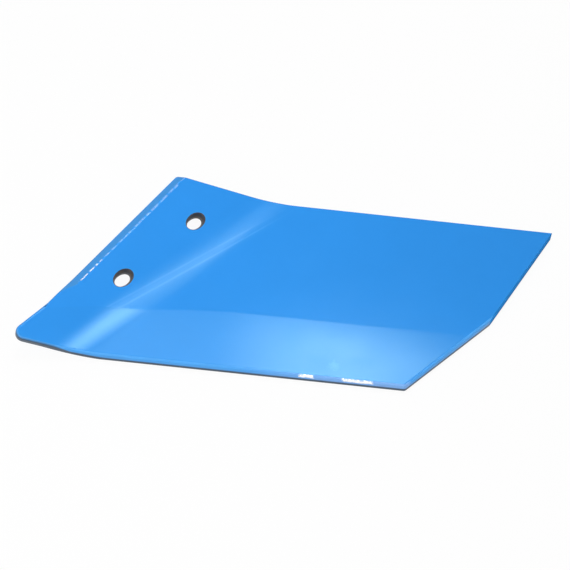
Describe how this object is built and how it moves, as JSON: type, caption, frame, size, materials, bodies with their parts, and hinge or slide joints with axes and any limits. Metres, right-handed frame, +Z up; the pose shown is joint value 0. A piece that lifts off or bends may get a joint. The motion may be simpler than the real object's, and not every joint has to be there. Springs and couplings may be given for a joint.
{
  "type": "cultivator wing share",
  "caption": "Blue-painted steel wing share: a flat cutting wing folded along a slanting bend into a slotted mounting flange.",
  "frame": {"origin": "middle of the base rectangle that the share covers, at the underside of the flat wing", "axes": "+X along the cutting edge from the mounting flange to the wing tip, +Y from the cutting edge to the rear edge, +Z up out of the wing's upper face"},
  "size_m": [0.3866, 0.161, 0.0304],
  "materials": {
    "blue_paint": "glossy"
  },
  "bodies": {
    "root": {"wing_share": "blue_paint"}
  },
  "joints": []
}
